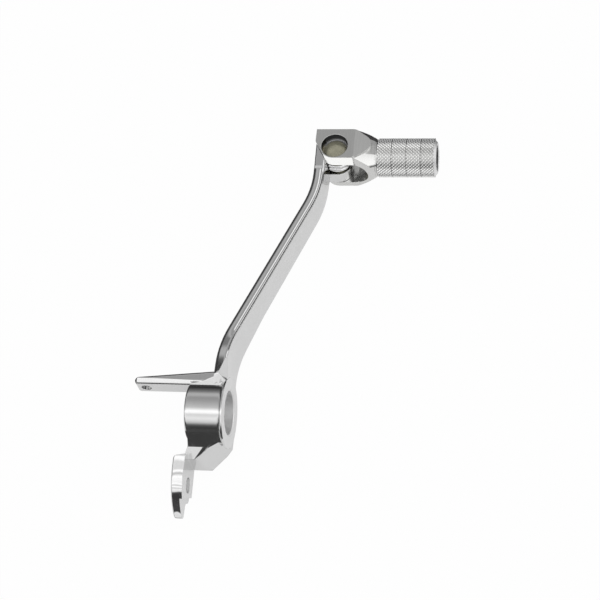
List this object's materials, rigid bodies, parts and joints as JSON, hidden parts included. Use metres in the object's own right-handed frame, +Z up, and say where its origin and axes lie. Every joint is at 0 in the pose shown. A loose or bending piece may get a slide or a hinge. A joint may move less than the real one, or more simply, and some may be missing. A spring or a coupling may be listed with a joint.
{
  "type": "brake pedal",
  "caption": "Motorcycle rear brake pedal: a bent light-alloy arm on a pivot boss, with a sprung folding toe peg, a push-rod lug and a return-spring tab.",
  "frame": {"origin": "middle of the pivot bore, on its axis", "axes": "+X along the pivot bore, outboard; +Y forward along the arm, to the toe; +Z up, along the hinge of the toe peg"},
  "size_m": [0.1108, 0.1644, 0.0312],
  "materials": {
    "polished_alloy": "polished",
    "machined_alloy": "machined and knurled",
    "plated_steel": "yellow zinc plate",
    "spring_steel": "bright wire"
  },
  "bodies": {
    "arm": {"pedal_arm": "polished_alloy", "toe_spring": "spring_steel"},
    "toe": {"toe_peg": "machined_alloy", "hinge_pin": "plated_steel"}
  },
  "joints": [
    {"name": "toe_fold", "type": "hinge", "parent": "arm", "child": "toe", "pos_m": [0.0392, 0.1162, 0], "axis": [0, 0, -1], "range_deg": [0, 60], "stiffness_Nm_per_rad": 0.35, "springref_deg": -28.65, "deforming": ["toe_spring"]}
  ]
}
